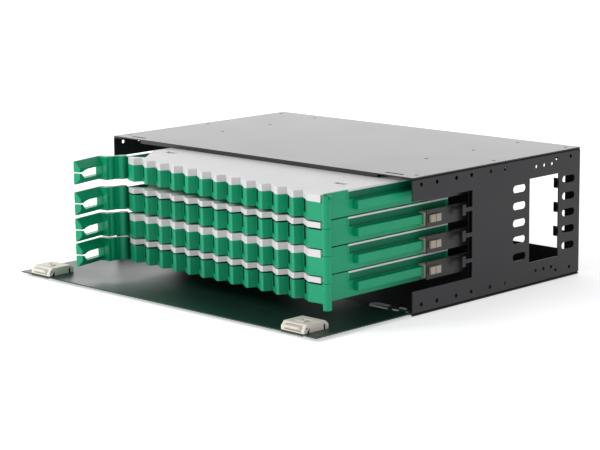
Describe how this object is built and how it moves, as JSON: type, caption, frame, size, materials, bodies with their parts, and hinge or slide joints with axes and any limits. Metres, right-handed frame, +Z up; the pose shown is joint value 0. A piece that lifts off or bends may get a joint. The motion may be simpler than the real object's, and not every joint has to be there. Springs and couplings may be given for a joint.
{
  "type": "fiber termination box",
  "caption": "Black sheet-steel rack box with a fold-down door and pull-out green splice trays with angled ports and side cable rings.",
  "frame": {"origin": "centre of the chassis's bottom face, on the surface it stands on", "axes": "+X to the right seen from the door, +Y to the back, +Z up"},
  "size_m": [0.43, 0.3924, 0.1326],
  "materials": {
    "black_steel": "fine-texture black powder coat",
    "dark_steel": "blackened steel",
    "bare_steel": "bare bright steel",
    "green_plastic": "moulded, satin gloss",
    "white_plastic": "moulded, satin",
    "cream_plastic": "moulded, matt",
    "grey_plastic": "moulded, matt"
  },
  "bodies": {
    "chassis": {"bottom_pan": "black_steel", "top_cover": "black_steel", "side_plate_right": "black_steel", "side_plate_left": "black_steel", "rear_panel": "black_steel", "rail_support_right": "black_steel", "rail_support_left": "black_steel", "rail_strip_right_1": "black_steel", "slide_guide_right_1": "cream_plastic", "rail_strip_right_2": "black_steel", "slide_guide_right_2": "cream_plastic", "rail_strip_right_3": "black_steel", "slide_guide_right_3": "cream_plastic", "rail_strip_right_4": "black_steel", "slide_guide_right_4": "cream_plastic", "hinge_block_right": "dark_steel", "rail_strip_left_1": "black_steel", "slide_guide_left_1": "cream_plastic", "rail_strip_left_2": "black_steel", "slide_guide_left_2": "cream_plastic", "rail_strip_left_3": "black_steel", "slide_guide_left_3": "cream_plastic", "rail_strip_left_4": "black_steel", "slide_guide_left_4": "cream_plastic", "hinge_block_left": "dark_steel", "cover_screws": "dark_steel", "support_screws": "dark_steel"},
    "door": {"front_door": "black_steel", "latch_base_right": "cream_plastic", "latch_plate_right": "bare_steel", "latch_spring_right": "bare_steel", "latch_base_left": "cream_plastic", "latch_plate_left": "bare_steel", "latch_spring_left": "bare_steel"},
    "latch_right": {"latch_slider_right": "cream_plastic"},
    "latch_left": {"latch_slider_left": "cream_plastic"},
    "hinge_bolt_right": {"hinge_bolt_right": "bare_steel"},
    "hinge_bolt_left": {"hinge_bolt_left": "bare_steel"},
    "tray_1": {"tray_base_1": "green_plastic", "tray_cover_1": "white_plastic", "splice_holder_1": "grey_plastic", "tray_post_1": "green_plastic", "tray_rails_1": "green_plastic", "post_cap": "green_plastic"},
    "tray_2": {"tray_base_2": "green_plastic", "tray_cover_2": "white_plastic", "splice_holder_2": "grey_plastic", "tray_post_2": "green_plastic", "tray_rails_2": "green_plastic"},
    "tray_3": {"tray_base_3": "green_plastic", "tray_cover_3": "white_plastic", "splice_holder_3": "grey_plastic", "tray_post_3": "green_plastic", "tray_rails_3": "green_plastic"},
    "tray_4": {"tray_base_4": "green_plastic", "tray_cover_4": "white_plastic", "splice_holder_4": "grey_plastic", "tray_post_4": "green_plastic", "tray_rails_4": "green_plastic"}
  },
  "joints": [
    {"name": "door_hinge", "type": "hinge", "parent": "chassis", "child": "door", "pos_m": [0, -0.1308, 0.00295], "axis": [1, 0, 0], "range_deg": [-3, 90]},
    {"name": "latch_right_slide", "type": "slide", "parent": "door", "child": "latch_right", "axis": [0, 1, 0], "range_m": [0, 0.004], "stiffness_N_per_m": 300, "springref_m": -0.004, "deforming": ["latch_spring_right"]},
    {"name": "latch_left_slide", "type": "slide", "parent": "door", "child": "latch_left", "axis": [0, 1, 0], "range_m": [0, 0.004], "stiffness_N_per_m": 300, "springref_m": -0.004, "deforming": ["latch_spring_left"]},
    {"name": "hinge_bolt_right_slide", "type": "slide", "parent": "chassis", "child": "hinge_bolt_right", "axis": [-1, 0, 0], "range_m": [0, 0.01]},
    {"name": "hinge_bolt_left_slide", "type": "slide", "parent": "chassis", "child": "hinge_bolt_left", "axis": [1, 0, 0], "range_m": [0, 0.01]},
    {"name": "tray_1_slide", "type": "slide", "parent": "chassis", "child": "tray_1", "axis": [0, 1, 0], "range_m": [0, 0.1255]},
    {"name": "tray_2_slide", "type": "slide", "parent": "chassis", "child": "tray_2", "axis": [0, 1, 0], "range_m": [0, 0.1255]},
    {"name": "tray_3_slide", "type": "slide", "parent": "chassis", "child": "tray_3", "axis": [0, 1, 0], "range_m": [0, 0.1255]},
    {"name": "tray_4_slide", "type": "slide", "parent": "chassis", "child": "tray_4", "axis": [0, 1, 0], "range_m": [0, 0.1255]}
  ]
}
